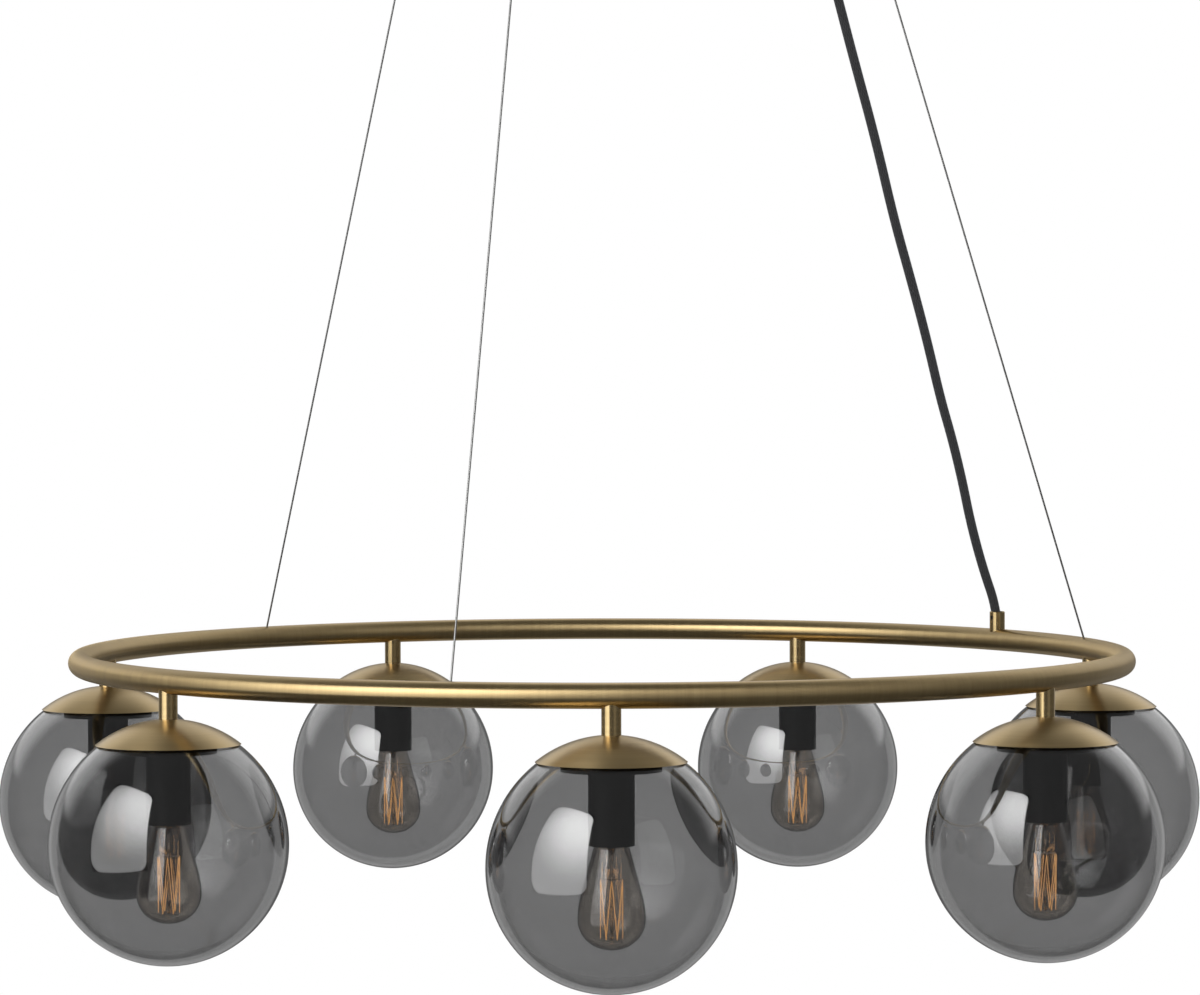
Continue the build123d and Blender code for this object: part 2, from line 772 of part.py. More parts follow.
save("stems", at_units(stem()))
save("lock_nuts", [placed for nut in lock_nuts() for placed in at_units(nut)])
save("glass_retainers", at_units(glass_retainer()))
save("socket_contacts", [placed for contact in socket_contacts() for placed in at_units(contact)])
save("ring_tube", [ring_tube()])
save("wiring_loom", [wiring_loom()])
save("ring_gland", [ring_gland()])
save("gland_screw", [gland_screw()])
save("wire_end_stops", wire_end_stops())
save("suspension_wires", suspension_wires())
save("supply_cord", [supply_cord()])
save("canopy_cover", [canopy_cover()])
save("canopy_gland", [canopy_gland()])
save("wire_grippers", at_grips(wire_gripper()))
save("canopy_nuts", canopy_nuts())
save("ceiling_bracket", [ceiling_bracket()])
save("terminal_block", terminal_block())
save("canopy_screws", canopy_screws())
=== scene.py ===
import math

import bpy
from mathutils import Matrix, Vector


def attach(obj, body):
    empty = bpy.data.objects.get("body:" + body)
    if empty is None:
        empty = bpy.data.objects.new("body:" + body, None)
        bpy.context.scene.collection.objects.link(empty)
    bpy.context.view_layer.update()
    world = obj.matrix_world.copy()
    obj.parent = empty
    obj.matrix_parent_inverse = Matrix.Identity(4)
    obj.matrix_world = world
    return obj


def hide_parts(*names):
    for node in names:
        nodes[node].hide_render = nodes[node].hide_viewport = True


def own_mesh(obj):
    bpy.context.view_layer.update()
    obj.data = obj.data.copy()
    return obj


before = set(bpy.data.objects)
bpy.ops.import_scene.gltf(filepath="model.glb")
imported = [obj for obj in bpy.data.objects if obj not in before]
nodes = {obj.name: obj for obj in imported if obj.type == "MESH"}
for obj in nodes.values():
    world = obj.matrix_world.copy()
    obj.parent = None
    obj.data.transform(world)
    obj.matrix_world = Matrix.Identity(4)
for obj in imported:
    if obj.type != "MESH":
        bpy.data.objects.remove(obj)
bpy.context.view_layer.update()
scene = bpy.context.scene
scene.view_settings.view_transform = "Standard"

# ---- places shared with the solid parts, in metres -------------------------------------------------
RING_RADIUS = 0.371
RING_HEIGHT = -1.080
UNIT_HEIGHT = RING_HEIGHT - 0.1085
UNIT_COUNT = 7
FIRST_UNIT_ANGLE = -89.1
WIRE_COUNT = 3
FIRST_WIRE_ANGLE = 15.0
WIRE_TOP_RADIUS = 0.043
WIRE_TOP = -0.0385
WIRE_RADIUS = 0.0007
CORD_ANGLE = 35.2
CORD_RADIUS = 0.0035
# the cord's centre line: distance from the axis, height above the middle of the ring's tube
CORD_ROUTE = [
    (0.3710, 0.0055), (0.3710, 0.0225), (0.3562, 0.0560), (0.3444, 0.0900), (0.3358, 0.1230),
    (0.3259, 0.1545), (0.3146, 0.1845), (0.3009, 0.2300), (0.2854, 0.2750), (0.2690, 0.3200),
    (0.2513, 0.3790), (0.2307, 0.4375), (0.2133, 0.4890), (0.1895, 0.5600), (0.1645, 0.6320),
    (0.1420, 0.7040), (0.1173, 0.7760), (0.0953, 0.8430), (0.0734, 0.9060), (0.0562, 0.9530),
    (0.0398, 0.9950), (0.0310, 1.0280), (0.0310, 1.0620),
]


def polar(radius, angle, height=0.0):
    return Vector((radius * math.cos(math.radians(angle)), radius * math.sin(math.radians(angle)), height))


UNITS = [polar(RING_RADIUS, FIRST_UNIT_ANGLE + k * 360 / UNIT_COUNT, UNIT_HEIGHT) for k in range(UNIT_COUNT)]


# ---- node trees ------------------------------------------------------------------------------------
class Tree:
    """Builds a node tree from short calls."""

    def __init__(self, owner):
        owner.use_nodes = True
        self.tree = owner.node_tree
        self.tree.nodes.clear()

    def add(self, kind, inputs=None, **settings):
        node = self.tree.nodes.new(kind)
        for name, value in settings.items():
            setattr(node, name, value)
        self.fill((node.inputs[name], value) for name, value in (inputs or {}).items())
        return node

    def fill(self, pairs):
        """Gives each socket its value, or a link where the value is another node's output."""
        for socket, value in pairs:
            if isinstance(value, bpy.types.NodeSocket):
                self.tree.links.new(value, socket)
            else:
                socket.default_value = value

    def math(self, operation, a, b=0.0):
        node = self.add("ShaderNodeMath", operation=operation)
        self.fill(zip(node.inputs, (a, b)))
        return node.outputs[0]

    def vector(self, operation, a, b=(0.0, 0.0, 0.0), scale=None):
        node = self.add("ShaderNodeVectorMath", operation=operation)
        self.fill(zip(node.inputs, (a, b)))
        if scale is not None:
            node.inputs["Scale"].default_value = scale
        return node.outputs["Value" if operation in ("LENGTH", "DOT_PRODUCT") else "Vector"]

    def split(self, vector):
        return self.add("ShaderNodeSeparateXYZ", {"Vector": vector}).outputs

    def join(self, x, y, z=0.0):
        return self.add("ShaderNodeCombineXYZ", {"X": x, "Y": y, "Z": z}).outputs[0]

    def noise(self, vector, scale, detail=2.0, rough=0.5):
        return self.add(
            "ShaderNodeTexNoise", {"Vector": vector, "Scale": scale, "Detail": detail, "Roughness": rough}
        ).outputs["Fac"]

    def spread(self, value, low, high, to_low, to_high, smooth=False):
        return self.add(
            "ShaderNodeMapRange",
            {"Value": value, "From Min": low, "From Max": high, "To Min": to_low, "To Max": to_high},
            interpolation_type="SMOOTHSTEP" if smooth else "LINEAR",
        ).outputs["Result"]

    def blend(self, factor, a, b):
        node = self.add("ShaderNodeMix", data_type="RGBA")
        self.fill(((node.inputs[0], factor), (node.inputs[6], a), (node.inputs[7], b)))
        return node.outputs[2]

    def bump(self, height, strength, distance):
        return self.add(
            "ShaderNodeBump", {"Height": height, "Strength": strength, "Distance": distance}
        ).outputs[0]

    def surface(self, shader, output="ShaderNodeOutputMaterial"):
        self.tree.links.new(shader.outputs[0], self.add(output).inputs["Surface"])

    def principled(self, inputs):
        self.surface(self.add("ShaderNodeBsdfPrincipled", inputs))


def rgb(r, g, b):
    return (r, g, b, 1.0)


def material(name):
    made = bpy.data.materials.new(name)
    return made, Tree(made)


def point(tree):
    return tree.add("ShaderNodeTexCoord").outputs["Object"]


BRASS_LIGHT = rgb(0.51, 0.385, 0.198)
BRASS_DARK = rgb(0.44, 0.325, 0.162)
FINE_LINES, COARSE_LINES, PATCHES = 2600.0, 420.0, 22.0    # noise scales, per metre


def brass(name, lines, grain, roughness, anisotropy=0.0, tangent=None):
    """Antique brass. lines is the coordinate along which the brush lines follow each other."""
    made, tree = material(name)
    place = point(tree)
    along = lines(tree, place)
    fine = tree.noise(along, FINE_LINES * grain, 3.0, 0.6)
    coarse = tree.noise(along, COARSE_LINES * grain, 2.0)
    patch = tree.noise(place, PATCHES, 3.0)
    tone = tree.math("ADD", tree.math("MULTIPLY", fine, 0.55), tree.math("MULTIPLY", coarse, 0.45))
    tone = tree.math("ADD", tree.math("MULTIPLY", tone, 0.75), tree.math("MULTIPLY", patch, 0.25))
    colour = tree.blend(tree.spread(tone, 0.36, 0.64, 0.0, 1.0), BRASS_DARK, BRASS_LIGHT)
    rough = tree.spread(coarse, 0.3, 0.7, roughness - 0.02, roughness + 0.03)
    inputs = {
        "Base Color": colour,
        "Metallic": 1.0,
        "Roughness": rough,
        "Normal": tree.bump(fine, 0.035, 0.0003),
        "Anisotropic": anisotropy,
    }
    if tangent:
        inputs["Tangent"] = tangent(tree, place)
    tree.principled(inputs)
    return made


def round_the_tube(tree, place):
    """Same value all round the tube's section, changing along the ring."""
    x, y, _ = tree.split(place)
    flat = tree.vector("NORMALIZE", tree.join(x, y))
    drift = tree.vector("SCALE", place, scale=0.012)
    return tree.vector("ADD", tree.vector("SCALE", flat, scale=RING_RADIUS), drift)


def along_the_ring(tree, place):
    """Level direction round the ring's axis."""
    return tree.add("ShaderNodeTangent", direction_type="RADIAL", axis="Z").outputs[0]


def away_from(centre):
    """Level direction away from an upright axis."""

    def tangent(tree, place):
        x, y, _ = tree.split(tree.vector("SUBTRACT", place, (centre[0], centre[1], 0.0)))
        return tree.vector("NORMALIZE", tree.join(x, y))

    return tangent


def spun_about(centre):
    """Same value all round an upright axis, changing along the surface's profile."""

    def lines(tree, place):
        x, y, z = tree.split(tree.vector("SUBTRACT", place, (centre[0], centre[1], 0.0)))
        reach = tree.math("SQRT", tree.math("ADD", tree.math("MULTIPLY", x, x), tree.math("MULTIPLY", y, y)))
        drift = tree.vector("SCALE", place, scale=0.01)
        return tree.vector("ADD", tree.join(reach, z), drift)

    return lines


def up_the_part(tree, place):
    """Nearly the same value at one height, changing with height."""
    return tree.vector("MULTIPLY", place, (0.02, 0.02, 1.0))


def plain(name, low, high, roughness, scale, metallic=0.0, bump=0.1, stretch=(1.0, 1.0, 1.0)):
    """Even finish with a fine grain in its colour, gloss and relief."""
    made, tree = material(name)
    place = tree.vector("MULTIPLY", point(tree), stretch)
    grain = tree.noise(place, scale, 4.0, 0.6)
    broad = tree.noise(place, scale / 14, 2.0)
    tone = tree.math("ADD", tree.math("MULTIPLY", grain, 0.6), tree.math("MULTIPLY", broad, 0.4))
    tree.principled({
        "Base Color": tree.blend(tree.spread(tone, 0.35, 0.65, 0.0, 1.0), rgb(*low), rgb(*high)),
        "Metallic": metallic,
        "Roughness": tree.spread(grain, 0.3, 0.7, roughness - 0.05, roughness + 0.06),
        "Normal": tree.bump(grain, bump, 0.0002),
    })
    return made


def glass(name, dark, light, ior, edge):
    """Clear blown glass: a faint swirl in its tint and surface, and a rim darkened by its thickness.

    ior is above real glass's 1.5 to make the reflections as strong as the studio needs.
    """
    made, tree = material(name)
    place = point(tree)
    swirl = tree.noise(tree.vector("MULTIPLY", place, (1.0, 1.0, 2.2)), 9.0, 1.0)
    tint = tree.blend(tree.spread(swirl, 0.3, 0.7, 0.0, 1.0), rgb(*dark), rgb(*light))
    grazing = tree.add("ShaderNodeLayerWeight", {"Blend": 0.5}).outputs["Facing"]
    rim = tree.spread(grazing, 0.70, 0.90, 0.0, 1.0, True)
    tree.principled({
        "Base Color": tree.blend(rim, tint, rgb(edge, edge, edge)),
        "Roughness": 0.0,
        "IOR": ior,
        "Transmission Weight": 1.0,
        "Normal": tree.bump(swirl, 0.05, 0.001),
    })
    return made


ring_brass = brass("brass_ring", round_the_tube, 0.55, 0.35, 0.85, along_the_ring)
cap_brass = [
    brass(f"brass_cap_{k + 1}", spun_about(centre), 0.8, 0.36, 0.7, away_from(centre))
    for k, centre in enumerate(UNITS)
]
turned_brass = brass("brass_turned", up_the_part, 0.9, 0.22)
canopy_brass = brass("brass_canopy", spun_about((0.0, 0.0)), 0.8, 0.34)
smoked_glass = glass("glass_smoke", (0.425, 0.425, 0.427), (0.44, 0.44, 0.44), 1.7, 0.16)
lamp_glass = glass("glass_lamp", (0.94, 0.90, 0.85), (0.97, 0.93, 0.88), 2.4, 0.6)
black_plastic = plain("plastic_black", (0.018, 0.018, 0.018), (0.028, 0.028, 0.028), 0.5, 900.0)
black_metal = plain("metal_black", (0.014, 0.014, 0.014), (0.024, 0.024, 0.024), 0.45, 1300.0)
zinc = plain("zinc", (0.50, 0.51, 0.53), (0.66, 0.67, 0.69), 0.36, 350.0, 1.0, 0.06)
bracket_steel = plain("steel_sheet", (0.52, 0.53, 0.55), (0.68, 0.69, 0.71), 0.38, 700.0, 1.0,
                      stretch=(0.06, 1.0, 1.0))
dark_screw = plain("screw_dark", (0.05, 0.045, 0.04), (0.09, 0.08, 0.07), 0.4, 1500.0, 1.0)
contact = plain("contact_brass", (0.62, 0.48, 0.24), (0.74, 0.6, 0.34), 0.3, 500.0, 1.0, 0.05)
cap_metal = plain("lamp_cap_metal", (0.55, 0.53, 0.5), (0.7, 0.68, 0.64), 0.28, 600.0, 1.0, 0.05,
                  (0.1, 0.1, 1.0))
white_plastic = plain("plastic_white", (0.76, 0.76, 0.73), (0.84, 0.84, 0.81), 0.42, 900.0, bump=0.05)
insulation = plain("wire_insulation", (0.60, 0.59, 0.55), (0.72, 0.71, 0.67), 0.5, 900.0, bump=0.08)


def filament_material():
    made, tree = material("filament_wire")
    coil = tree.noise(tree.vector("MULTIPLY", point(tree), (0.3, 0.3, 1.0)), 2200.0, 1.0)
    tree.principled({
        "Base Color": tree.blend(coil, rgb(0.55, 0.3, 0.1), rgb(0.9, 0.55, 0.22)),
        "Metallic": 1.0,
        "Roughness": 0.4,
        "Emission Color": tree.blend(coil, rgb(0.9, 0.42, 0.12), rgb(1.0, 0.62, 0.26)),
        "Emission Strength": 1.5,
    })
    return made


filament_wire = filament_material()


YARNS_ROUND, YARNS_PER_METRE = 12.0, 231.0
STRANDS_ROUND, STRANDS_PER_METRE = 7.0, 620.0


def cord_material():
    """Braid of two crossing sets of yarns that go over and under each other, from the tube's own UVs."""
    made, tree = material("cord_braid")
    u, v, _ = tree.split(tree.add("ShaderNodeUVMap", uv_map="UVMap").outputs[0])
    across = tree.math("MULTIPLY", u, YARNS_ROUND)
    along = tree.math("MULTIPLY", v, YARNS_PER_METRE)
    left = tree.math("ADD", across, along)
    right = tree.math("SUBTRACT", across, along)
    parity = tree.math("ADD", tree.math("FLOOR", left), tree.math("FLOOR", right))
    over = tree.math("PINGPONG", parity, 1.0)

    def yarn(value):
        return tree.math("SINE", tree.math("MULTIPLY", tree.math("FRACT", value), math.pi))

    top = tree.math("MULTIPLY", yarn(left), over)
    under = tree.math("MULTIPLY", yarn(right), tree.math("SUBTRACT", 1.0, over))
    height = tree.math("ADD", top, under)
    fuzz = tree.noise(point(tree), 2600.0, 3.0, 0.6)
    # tone follows the yarns' height: painted shade in the dips between and under the yarns, with the crowns
    # left lighter, and a random fuzz
    tone = tree.math("ADD", tree.math("MULTIPLY", height, 0.75), tree.math("MULTIPLY", fuzz, 0.25))
    relief = tree.math("ADD", height, tree.math("MULTIPLY", fuzz, 0.3))
    tree.principled({
        "Base Color": tree.blend(tone, rgb(0.004, 0.004, 0.005), rgb(0.075, 0.075, 0.08)),
        "Roughness": 0.72,
        "Sheen Weight": 0.25,
        "Sheen Roughness": 0.5,
        "Sheen Tint": rgb(0.7, 0.75, 0.85),
        "Specular IOR Level": 0.3,
        "Normal": tree.bump(relief, 0.5, 0.0004),
    })
    return made


cord_braid = cord_material()


def wire_material():
    """Stranded steel: a helix of fine wires, from the tube's own UVs."""
    made, tree = material("wire_strands")
    u, v, _ = tree.split(tree.add("ShaderNodeUVMap", uv_map="UVMap").outputs[0])
    lay = tree.math("ADD", tree.math("MULTIPLY", u, STRANDS_ROUND),
                    tree.math("MULTIPLY", v, STRANDS_PER_METRE))
    strand = tree.math("SINE", tree.math("MULTIPLY", tree.math("FRACT", lay), math.pi))
    # the colour follows each strand's height: painted shade in the grooves between the wires, with the
    # crowns left lighter
    tree.principled({
        "Base Color": tree.blend(strand, rgb(0.10, 0.10, 0.10), rgb(0.36, 0.36, 0.355)),
        "Metallic": 1.0,
        "Roughness": 0.34,
        "Normal": tree.bump(strand, 0.5, 0.0001),
    })
    return made


wire_strands = wire_material()

# ---- finishes of the solid parts -------------------------------------------------------------------
FINISHES = {
    "ring_tube": ring_brass, "stems": turned_brass, "ring_gland": turned_brass,
    "canopy_cover": canopy_brass, "canopy_gland": turned_brass, "wire_grippers": turned_brass,
    "glass_retainers": black_metal, "lock_nuts": zinc, "canopy_nuts": zinc,
    "ceiling_bracket": bracket_steel, "canopy_screws": dark_screw, "gland_screw": dark_screw,
    "wire_end_stops": zinc, "suspension_wires": wire_strands, "supply_cord": cord_braid,
    "wiring_loom": insulation, "terminal_block": white_plastic, "socket_contacts": contact,
}
for number in range(1, UNIT_COUNT + 1):
    FINISHES[f"globe_cap_{number}"] = cap_brass[number - 1]
    FINISHES[f"lampholder_{number}"] = black_plastic
    FINISHES[f"globe_glass_{number}"] = smoked_glass
    FINISHES[f"bulb_glass_{number}"] = lamp_glass
    FINISHES[f"bulb_base_{number}"] = cap_metal
    FINISHES[f"filament_{number}"] = filament_wire
for name, node in nodes.items():
    node.data.materials.clear()
    node.data.materials.append(FINISHES[name])


# ---- cord and wires --------------------------------------------------------------------------------
def curve_points(name, points, steps):
    """Points along a smooth curve through the route, as the curve itself gives them."""
    curve = bpy.data.curves.new(name, "CURVE")
    curve.dimensions = "3D"
    curve.resolution_u = steps
    spline = curve.splines.new("NURBS")
    spline.points.add(len(points) - 1)
    for control, place in zip(spline.points, points):
        control.co = (*place, 1.0)
    spline.order_u = 3
    spline.use_endpoint_u = True
    holder = bpy.data.objects.new(name, curve)
    scene.collection.objects.link(holder)
    line = bpy.data.meshes.new_from_object(holder)
    found = [vertex.co.copy() for vertex in line.vertices]
    bpy.data.objects.remove(holder)
    bpy.data.meshes.remove(line)
    return found


def tube(name, lines, radius, sides, material):
    """Round tubes along lines of points, closed at both ends, with UVs: round the tube, metres along it."""
    vertices, faces, uvs = [], [], []
    for line in lines:
        first = len(vertices)
        tangent = (line[1] - line[0]).normalized()
        side = tangent.orthogonal().normalized()
        travelled = [0.0]
        for k, place in enumerate(line):
            ahead = line[min(k + 1, len(line) - 1)] - line[max(k - 1, 0)]
            turn = tangent.rotation_difference(ahead.normalized())
            tangent = ahead.normalized()
            side = (turn @ side).normalized()
            other = tangent.cross(side)
            if k:
                travelled.append(travelled[-1] + (place - line[k - 1]).length)
            for s in range(sides):
                angle = 2 * math.pi * s / sides
                vertices.append(place + (side * math.cos(angle) + other * math.sin(angle)) * radius)
        for k in range(len(line) - 1):
            for s in range(sides):
                near, far = first + k * sides, first + (k + 1) * sides
                t = (s + 1) % sides
                faces.append((near + s, near + t, far + t, far + s))
                left, right = s / sides, (s + 1) / sides
                start, end = travelled[k], travelled[k + 1]
                uvs += [(left, start), (right, start), (right, end), (left, end)]
        last = first + (len(line) - 1) * sides
        faces.append(tuple(first + s for s in reversed(range(sides))))
        faces.append(tuple(last + s for s in range(sides)))
        uvs += [(0.0, 0.0)] * sides + [(0.0, travelled[-1])] * sides
    mesh = bpy.data.meshes.new(name)
    mesh.from_pydata(vertices, [], faces)
    layer = mesh.uv_layers.new(name="UVMap")
    for item, uv in zip(layer.data, uvs):
        item.uv = uv
    mesh.polygons.foreach_set("use_smooth", [len(p.vertices) == 4 for p in mesh.polygons])
    mesh.materials.append(material)
    made = bpy.data.objects.new(name, mesh)
    scene.collection.objects.link(made)
    return made


route = [polar(radius, CORD_ANGLE, RING_HEIGHT + height) for radius, height in CORD_ROUTE]
cord_line = curve_points("cord_line", route, 24)
cord_length = sum((b - a).length for a, b in zip(cord_line, cord_line[1:]))
cord = tube("cord_sleeve", [cord_line], CORD_RADIUS, 24, cord_braid)
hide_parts("supply_cord")
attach(cord, "canopy")
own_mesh(cord)
tuple(cord_line[0])
[tuple(p) for p in cord_line]

WIRE_START = 0.0022        # along the wire, from the middle of the ring's tube
WIRE_STEPS = 220
wire_lines = []
for k in range(WIRE_COUNT):
    angle = FIRST_WIRE_ANGLE + k * 360 / WIRE_COUNT
    foot, head = polar(RING_RADIUS, angle, RING_HEIGHT), polar(WIRE_TOP_RADIUS, angle, WIRE_TOP)
    start = foot + (head - foot).normalized() * WIRE_START
    wire_lines.append([start.lerp(head, step / WIRE_STEPS) for step in range(WIRE_STEPS + 1)])
wires = tube("wire_ropes", wire_lines, WIRE_RADIUS, 12, wire_strands)
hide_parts("suspension_wires")
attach(wires, "canopy")
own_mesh(wires)


# ---- blown glass and lamps -------------------------------------------------------------------------
def arc(centre_x, radius, start, end, steps):
    """Points (distance, height) on an arc about (centre_x, 0), angles in degrees from the level."""
    turn = [math.radians(start + (end - start) * k / steps) for k in range(steps + 1)]
    return [(centre_x + radius * math.cos(a), radius * math.sin(a)) for a in turn]


def turned_mesh(name, loops, sides, materials):
    """Surfaces of revolution about Z. Each loop is (points, material index).

    A loop's two ends lie on the axis.
    """
    vertices, faces, slots = [], [], []
    for loop, slot_index in loops:
        rings = []
        for radius, height in loop:
            if radius < 1e-7:
                rings.append([len(vertices)])
                vertices.append((0.0, 0.0, height))
                continue
            rings.append(list(range(len(vertices), len(vertices) + sides)))
            for s in range(sides):
                angle = 2 * math.pi * s / sides
                vertices.append((radius * math.cos(angle), radius * math.sin(angle), height))
        for low, high in zip(rings, rings[1:]):
            for s in range(sides):
                t = (s + 1) % sides
                face = [low[s % len(low)], low[t % len(low)], high[t % len(high)], high[s % len(high)]]
                face = [v for k, v in enumerate(face) if v not in face[:k]]
                if len(face) > 2:
                    faces.append(face)
                    slots.append(slot_index)
    mesh = bpy.data.meshes.new(name)
    mesh.from_pydata(vertices, [], faces)
    mesh.polygons.foreach_set("use_smooth", [True] * len(faces))
    mesh.polygons.foreach_set("material_index", slots)
    for each in materials:
        mesh.materials.append(each)
    return mesh


GLOBE_RADIUS, GLOBE_WALL, GLOBE_SHOULDER = 0.0794, 0.0025, 0.0045
MOUTH_RADIUS, GLOBE_LIP = 0.036, 0.001
BALL_STEPS, SHOULDER_STEPS, LIP_STEPS = 30, 22, 8


def globe_profile():
    """Closed section of the globe's wall, from the bottom outside round the lip to the bottom inside."""
    inside = GLOBE_RADIUS - GLOBE_WALL
    lip = MOUTH_RADIUS + GLOBE_LIP
    outer_end = math.degrees(math.acos((lip + GLOBE_SHOULDER) / (GLOBE_RADIUS + GLOBE_SHOULDER)))
    inner_end = math.degrees(math.acos((lip + GLOBE_SHOULDER) / (inside + GLOBE_SHOULDER)))
    outer = arc(0, GLOBE_RADIUS, -90, 0, BALL_STEPS)
    outer += arc(-GLOBE_SHOULDER, GLOBE_RADIUS + GLOBE_SHOULDER, 0, outer_end, SHOULDER_STEPS)[1:]
    inner = arc(-GLOBE_SHOULDER, inside + GLOBE_SHOULDER, inner_end, 0, SHOULDER_STEPS)
    inner += arc(0, inside, 0, -90, BALL_STEPS)[1:]
    outer[0], inner[-1] = (0.0, -GLOBE_RADIUS), (0.0, -inside)
    z1, z2 = outer[-1][1], inner[0][1]
    middle = (z1 + z2) / 2
    rounded = []
    for k in range(1, LIP_STEPS):
        angle = math.pi * k / LIP_STEPS
        rounded.append((lip - GLOBE_LIP * math.sin(angle), middle + (z1 - middle) * math.cos(angle)))
    return outer + rounded + inner


BULB_RADIUS, BULB_WIDE, BULB_TAIL, BULB_WALL = 0.02145, -0.0328, 0.019, 0.0008
BULB_SHOULDER_SLOPE = -0.29
TAIL_STEPS, FLANK_STEPS = 20, 10
BULB_FLANK = [(0.02145, -0.0328), (0.02048, -0.0215), (0.01652, -0.0065), (0.0114, 0.0125)]
BULB_NECK = [(0.0105, 0.0150), (0.0093, 0.0166), (0.0076, 0.0172), (0.0064, 0.0184), (0.0062, 0.0200),
             (0.0062, 0.0255)]


def bulb_side():
    """Half outline of the lamp's envelope from the bottom up to the neck."""
    points = [(BULB_RADIUS * math.sin(a), BULB_WIDE - BULB_TAIL * math.cos(a))
              for a in (math.radians(90 * k / TAIL_STEPS) for k in range(TAIL_STEPS))]
    tangents = [Vector((0, 1))]
    for before, after in zip(BULB_FLANK, BULB_FLANK[2:]):
        tangents.append((Vector(after) - Vector(before)).normalized())
    tangents.append(Vector((BULB_SHOULDER_SLOPE, 1)).normalized())
    for k in range(len(BULB_FLANK) - 1):
        a, b = Vector(BULB_FLANK[k]), Vector(BULB_FLANK[k + 1])
        reach = (b - a).length
        for step in range(FLANK_STEPS):
            t = step / FLANK_STEPS
            spot = ((2 * t**3 - 3 * t**2 + 1) * a + (t**3 - 2 * t**2 + t) * reach * tangents[k]
                    + (3 * t**2 - 2 * t**3) * b + (t**3 - t**2) * reach * tangents[k + 1])
            points.append((spot.x, spot.y))
    return points + [BULB_FLANK[-1]] + BULB_NECK


def inset(points, depth):
    """The same outline moved inwards."""
    moved = []
    for k, (r, z) in enumerate(points):
        a, b = Vector(points[max(k - 1, 0)]), Vector(points[min(k + 1, len(points) - 1)])
        along = (b - a).normalized()
        moved.append((max(r - along.y * depth, 0.0), z + along.x * depth))
    return moved


def bulb_profile():
    """Outer skin with its pinched crown, and the lining inside it, as two outlines."""
    outside = bulb_side()
    inside = inset(outside, BULB_WALL)
    inside[0] = (0.0, outside[0][1] + BULB_WALL)
    outside[0] = (0.0, outside[0][1])
    top = outside[-1][1]
    crown = [(0.0052, top + 0.0012), (0.003, top + 0.0014), (0.0, top + 0.0015)]
    under = [(0.0, top + 0.0007), (0.003, top + 0.0006), (0.0046, top + 0.0003)]
    return outside + crown, under + list(reversed(inside))


def mount_profile():
    """Glass foot inside the lamp: a flare under the neck that narrows to the rod with its button."""
    return [(0.0, -0.0450), (0.0008, -0.0449), (0.0016, -0.0442), (0.0016, -0.0425), (0.0009, -0.0415),
            (0.0009, -0.0085), (0.0016, -0.0078), (0.0019, -0.0070), (0.0016, -0.0062), (0.0010, -0.0054),
            (0.0010, 0.0040), (0.0014, 0.0085), (0.0028, 0.0130), (0.0034, 0.0180), (0.0036, 0.0235),
            (0.0, 0.0237)]


GLOBE_SIDES, BULB_SIDES = 128, 72
glass_mesh = turned_mesh("globe_blown", [(globe_profile(), 0)], GLOBE_SIDES, [smoked_glass])
skin, lining = bulb_profile()
bulb_loops = [(skin, 0), (lining, 0), (mount_profile(), 0)]
bulb_mesh = turned_mesh("bulb_blown", bulb_loops, BULB_SIDES, [lamp_glass])
# each filament corner: distance from the lamp's axis, height
FILAMENT_LOOPS, FILAMENT_TOP, FILAMENT_BOTTOM = 6, (0.008, -0.007), (0.007, -0.045)
FILAMENT_RADIUS, STAY_RADIUS, STAY_ROOT = 0.00025, 0.00014, 0.0012
HOOK_SHARE = 0.03          # of a filament's straight run, taken up by the hook at its end


def filament_lines():
    """Zigzag wire with rounded hooks, and the stays from the glass rod to each hook."""
    corners = []
    for k in range(FILAMENT_LOOPS):
        step = 360 / FILAMENT_LOOPS
        corners.append(polar(FILAMENT_TOP[0], -90 + k * step, FILAMENT_TOP[1]))
        corners.append(polar(FILAMENT_BOTTOM[0], -90 + (k + 0.5) * step, FILAMENT_BOTTOM[1]))
    wire = []
    for k, corner in enumerate(corners):
        before, after = corners[k - 1], corners[(k + 1) % len(corners)]
        enter, leave = corner.lerp(before, HOOK_SHARE), corner.lerp(after, HOOK_SHARE)
        wire.append(corner.lerp(before, 0.5))
        for t in (0.0, 0.25, 0.5, 0.75, 1.0):
            wire.append(enter * (1 - t) ** 2 + corner * 2 * t * (1 - t) + leave * t**2)
    wire.append(wire[0].copy())
    stays = []
    for corner in corners:
        outward = Vector((corner.x, corner.y, 0)).normalized()
        stays.append([outward * STAY_ROOT + Vector((0, 0, corner.z)), corner])
    return wire, stays


RING_TUBE_RADIUS = 0.0083
WIRE_HOLE_RADIUS = 0.0011


def ring_skin():
    """Smooth outer skin of the ring's tube."""
    around, section = 432, 48
    vertices, faces = [], []
    for k in range(around):
        for s in range(section):
            angle = math.radians(360 * s / section)
            reach = RING_RADIUS + RING_TUBE_RADIUS * math.cos(angle)
            height = RING_HEIGHT + RING_TUBE_RADIUS * math.sin(angle)
            vertices.append(polar(reach, 360 * k / around, height))
            a, b = k * section, (k + 1) % around * section
            t = (s + 1) % section
            faces.append((a + s, b + s, b + t, a + t))
    mesh = bpy.data.meshes.new("ring_skin")
    mesh.from_pydata(vertices, [], faces)
    mesh.polygons.foreach_set("use_smooth", [True] * len(faces))
    mesh.materials.append(ring_brass)
    made = bpy.data.objects.new("ring_skin", mesh)
    scene.collection.objects.link(made)
    return made


skin_piece = ring_skin()
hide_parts("ring_tube")
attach(skin_piece, "ring")


# each ring of a dish: reach as a share of the hole's radius, rise above the tube's skin
HOLE_DISH = [(0.0, -0.0004), (0.75, -0.0003), (0.95, 0.00003), (1.25, 0.00006), (1.4, -0.0002)]
# inner rings of each dish painted black, as shade inside the hole
HOLE_SHADE_RINGS = 2


